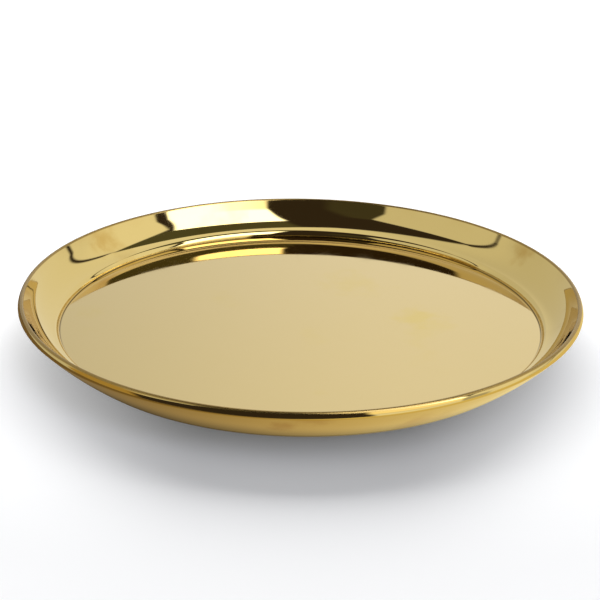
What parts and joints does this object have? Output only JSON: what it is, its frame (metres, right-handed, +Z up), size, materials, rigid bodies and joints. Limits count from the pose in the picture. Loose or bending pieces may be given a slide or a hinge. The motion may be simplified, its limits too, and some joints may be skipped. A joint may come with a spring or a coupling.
{
  "type": "serving plate",
  "caption": "Round polished brass serving plate: a flat floor disc on a low foot, and a flared wall ring with a round inner shoulder, a hollow and a rounded rim.",
  "frame": {"origin": "middle of the plane that the plate stands on, on the plate's axis", "axes": "+Z up along the plate's axis, from the underside to the rim; -Y towards the picture's camera"},
  "size_m": [0.3, 0.3, 0.0233],
  "materials": {
    "floor_brass": "polished",
    "wall_brass": "polished"
  },
  "bodies": {
    "root": {"floor_disc": "floor_brass", "wall_ring": "wall_brass"}
  },
  "joints": []
}
